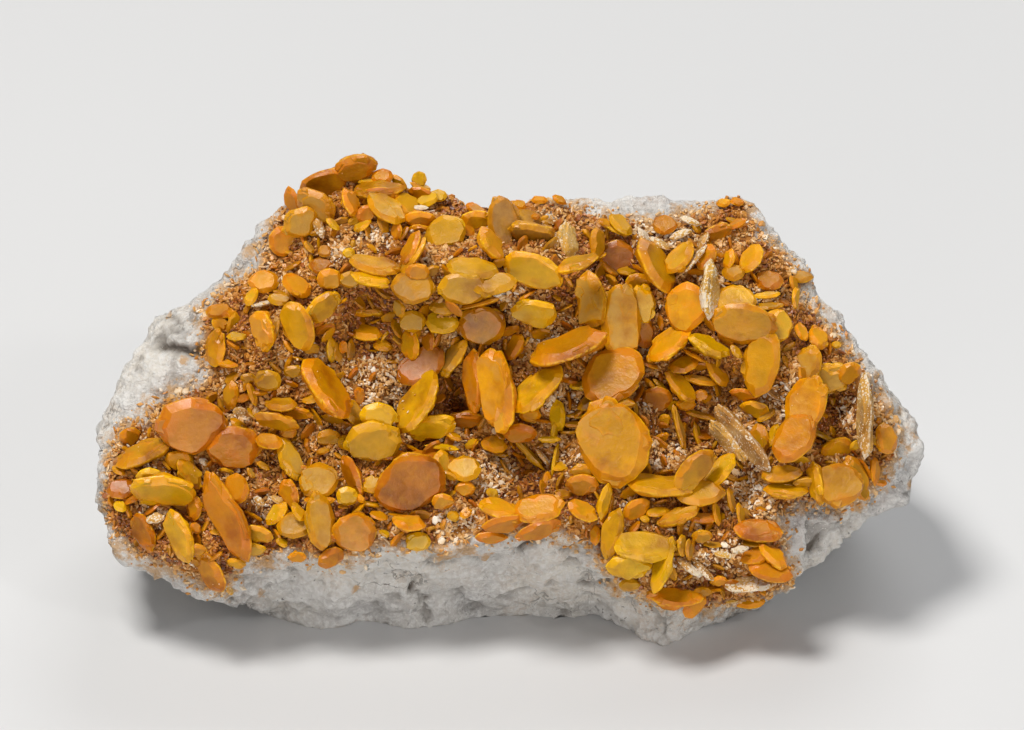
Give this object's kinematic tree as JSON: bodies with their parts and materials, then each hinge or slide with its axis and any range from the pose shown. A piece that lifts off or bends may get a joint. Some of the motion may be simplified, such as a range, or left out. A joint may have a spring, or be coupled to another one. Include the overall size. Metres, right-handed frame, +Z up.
{
  "type": "wulfenite mineral specimen",
  "caption": "Rough wedge of white limestone standing on a flat base, its leaning face crusted with tabular butterscotch and orange wulfenite crystals.",
  "frame": {"origin": "centre of the specimen's bounding box at the surface that it stands on", "axes": "+Z up, +X along the width of the crystal-covered face to its viewer's right, -Y towards the viewer of that face"},
  "size_m": [0.1253, 0.0663, 0.0674],
  "materials": {
    "limestone": "matte, rough, with a rusty granular crust on the front",
    "golden": "waxy to glassy golden crystal, barely translucent",
    "butterscotch": "waxy to glassy butterscotch crystal, barely translucent",
    "amber": "waxy to glassy amber crystal, barely translucent",
    "orange": "waxy to glassy orange crystal, barely translucent",
    "tan": "waxy tan crystal, opaque",
    "salmon": "waxy to glassy salmon crystal, barely translucent",
    "brown": "waxy brown crystal, barely translucent",
    "yellow": "waxy to glassy yellow crystal, barely translucent",
    "straw": "straw crystal under a sparkling white druse"
  },
  "bodies": {
    "root": {"limestone_matrix": "limestone", "peak_crystals": "amber", "peak_left_crystals": "butterscotch", "peak_right_crystals": "golden", "top_olive_crystal": "yellow", "top_centre_crystals": "tan", "ledge_drape_crystals": "golden", "upper_right_lens": "golden", "ledge_left_crystals": "golden", "ledge_tan_crystal": "tan", "ledge_yellow_crystals": "yellow", "square_crystal": "brown", "pale_shell_crystal": "butterscotch", "golden_left_crystals": "golden", "salmon_left_crystal": "salmon", "left_edge_crystal": "amber", "long_orange_blade": "orange", "small_tan_lens": "tan", "shaded_plate": "brown", "central_long_lens": "amber", "bevelled_plate": "amber", "upper_middle_crystals": "butterscotch", "orange_lens": "orange", "bright_orange_disc": "orange", "rough_column": "straw", "right_ridge_crystals": "golden", "golden_oval": "golden", "pale_lens": "yellow", "right_butterscotch_crystals": "butterscotch", "left_disc_crystals": "orange", "crusted_left_blade": "golden", "lower_left_plate": "golden", "long_salmon_blade": "salmon", "corner_blade": "golden", "corner_tip_crystal": "amber", "pale_front_crystals": "butterscotch", "yellow_disc_crystals": "yellow", "brown_amber_plate": "brown", "leaning_plates": "golden", "mauve_blade": "salmon", "tall_lens_pair": "salmon", "slanting_lens": "golden", "great_plate": "amber", "lower_right_fan": "golden", "crusted_right_blades": "straw", "salmon_right_crystals": "salmon", "right_corner_crystals": "golden", "white_druse_blade": "straw", "outlying_crystal": "amber", "amber_front_crystal": "amber", "front_lip_crystals": "orange", "yellow_upright_crystal": "yellow", "yellow_shelf_crystals": "yellow", "right_tip_crystals": "orange", "pale_straight_blade": "straw", "lowest_crystals": "orange"}
  },
  "joints": []
}
